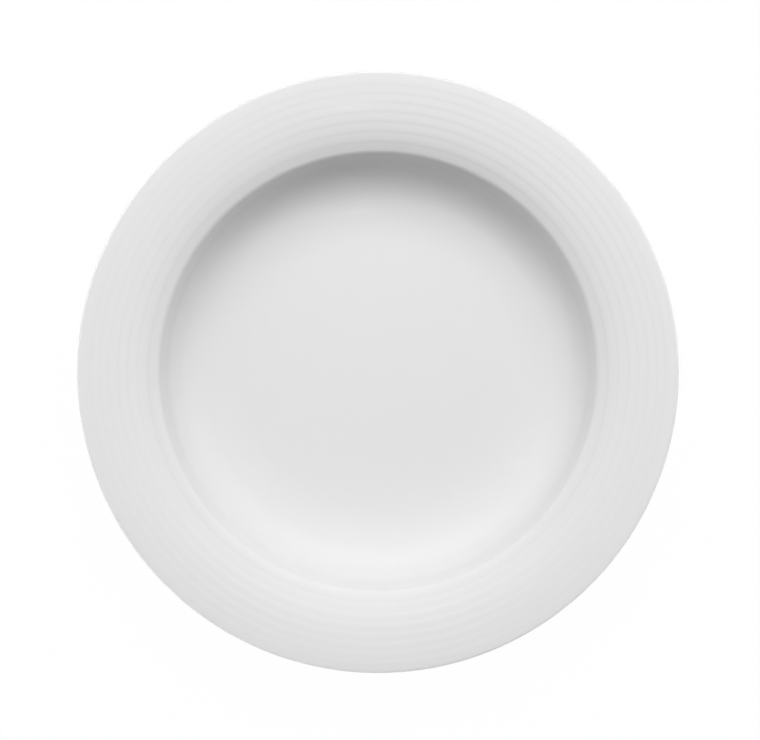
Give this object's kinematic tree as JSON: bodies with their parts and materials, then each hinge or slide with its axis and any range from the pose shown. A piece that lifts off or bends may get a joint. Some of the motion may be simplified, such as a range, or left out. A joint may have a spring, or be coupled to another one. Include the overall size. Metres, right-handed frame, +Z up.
{
  "type": "rimmed soup plate",
  "caption": "Round white porcelain soup plate with a deep well, a wide rim with fine raised rings and a bare foot ring.",
  "frame": {"origin": "centre of the foot ring, on the table", "axes": "+Z up along the plate's axis, with X and Y level. The plate is the same all round."},
  "size_m": [0.23, 0.23, 0.037],
  "materials": {
    "porcelain": "bare fired porcelain, matt and faintly sandy",
    "glaze": "glossy white glaze"
  },
  "bodies": {
    "root": {"porcelain_body": "porcelain", "glaze_coat": "glaze", "foot_recess_glaze": "glaze"}
  },
  "joints": []
}
